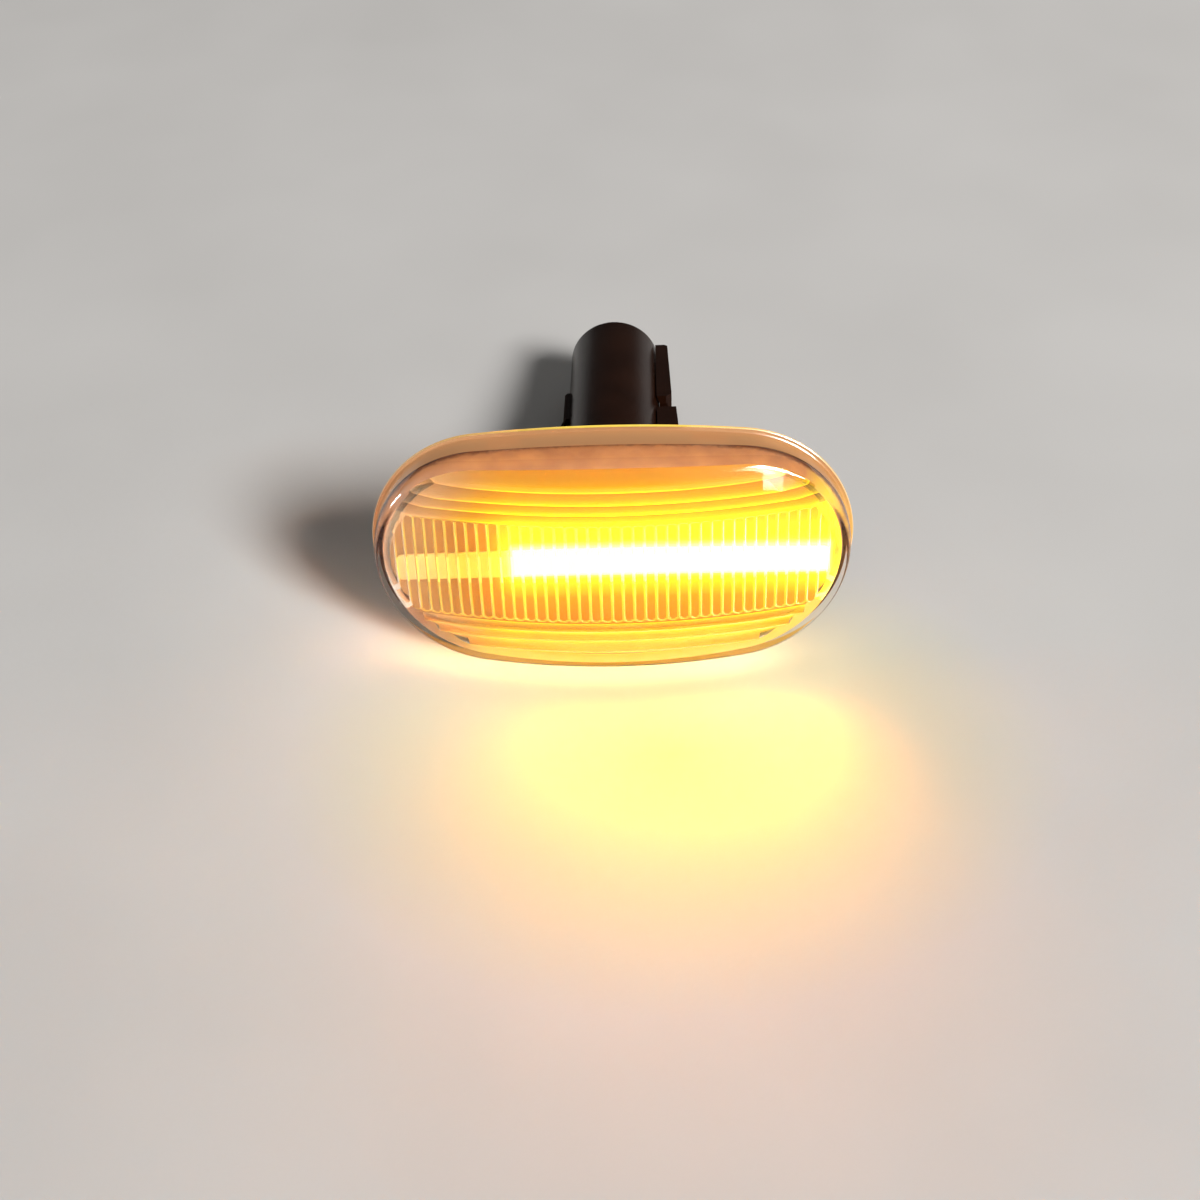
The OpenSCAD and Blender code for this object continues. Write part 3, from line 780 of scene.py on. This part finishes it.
glowing(links, shader, glow.outputs["Color"], 100)
haze = noise_at(nodes, links, where, 0.3, 2)
links.new(colour_between(nodes, links, haze, (0.46, 0.34, 0.22), (0.52, 0.39, 0.26)),
          shader.inputs["Base Color"])
shader.inputs["Roughness"].default_value = 0.35
dress("diffuser", bar_look)

# the flutes throw a beam of the bar's light down on the table in front of the lamp
beam_from, beam_to = Vector((9.5, -12.8, -5.0)) * MM, Vector((9.5, -27.0, -19.7)) * MM
beam = soft_lamp("bar_beam", beam_from, beam_to, (44 * MM, 4 * MM), 0.021, (1.0, 0.30, 0.0))
beam.data.spread = math.radians(95)
beam.visible_camera = False
beam.visible_glossy = False
beam.visible_transmission = False


# LEDs: small square emitters with a round lens well, of white plastic filled with amber phosphor.
# They are soldered on the board in one row, a fixed pitch apart.
led_lit, nodes, links, shader = material("emitter")
where = texture_place(nodes, links)
phosphor = noise_at(nodes, links, where, 2.0, 2)
links.new(colour_between(nodes, links, phosphor, (0.95, 0.62, 0.10), (1.0, 0.75, 0.18)),
          shader.inputs["Base Color"])
shader.inputs["Emission Color"].default_value = (1.0, 0.50, 0.08, 1)
shader.inputs["Emission Strength"].default_value = 4
led_dark = plain_plastic("emitter_off", (0.82, 0.74, 0.40), (0.90, 0.82, 0.48), 0.3, 2.0, 0.00002, 0.05)
for i in range(1, LEDS + 1):
    dress(f"led_{i}", led_lit if i >= FIRST_LIT else led_dark)


# Circuit board: white solder mask over aluminium, lying on the plate of the housing, with small
# black chips, resistors and a brown ceramic capacitor soldered on it.
dress("circuit_board", plain_plastic("board", (0.72, 0.74, 0.71), (0.78, 0.80, 0.77),
                                     0.4, 1.5, 0.00002, 0.05))
chip_look = plain_plastic("chip_black", (0.022, 0.022, 0.024), (0.032, 0.032, 0.034), 0.5, 4.0, 0.00003, 0.06)
for chip in ("controller_chip", "regulator", "rectifier"):
    dress(chip, chip_look)
for i in range(1, 5):
    dress(f"resistor_{i}", chip_look)
dress("capacitor", plain_plastic("ceramic", (0.42, 0.27, 0.16), (0.50, 0.34, 0.21), 0.45, 3.0, 0.00002, 0.06))


# Terminals: two tinned brass blades moulded into the socket floor, drawn and stamped,
# with fine marks along their length.
blade_look, nodes, links, shader = material("terminal_metal")
where = texture_place(nodes, links)
drawn = nodes.new("ShaderNodeMapping")
drawn.inputs["Scale"].default_value = (6, 0.25, 6)
links.new(where, drawn.inputs["Vector"])
marks = noise_at(nodes, links, drawn.outputs["Vector"], 1.2, 4, 0.7)
links.new(colour_between(nodes, links, marks, (0.66, 0.60, 0.50), (0.80, 0.75, 0.66)),
          shader.inputs["Base Color"])
shader.inputs["Metallic"].default_value = 1
links.new(number_between(nodes, links, marks, 0.22, 0.42), shader.inputs["Roughness"])
bumped(nodes, links, shader, marks, 0.3, 0.00003)
for side in ("left", "right"):
    dress(f"terminal_{side}", blade_look)


# Leads: two short wires in coloured plastic sleeves inside the tail. Each is soldered to the back
# of the board and runs straight to its blade.
def sleeve(name, low, high):
    return plain_plastic(name, low, high, 0.45, 2.0, 0.00003, 0.06)


dress("lead_left", sleeve("lead_red", (0.42, 0.022, 0.014), (0.52, 0.034, 0.020)))
dress("lead_right", sleeve("lead_black", (0.022, 0.022, 0.022), (0.035, 0.035, 0.035)))
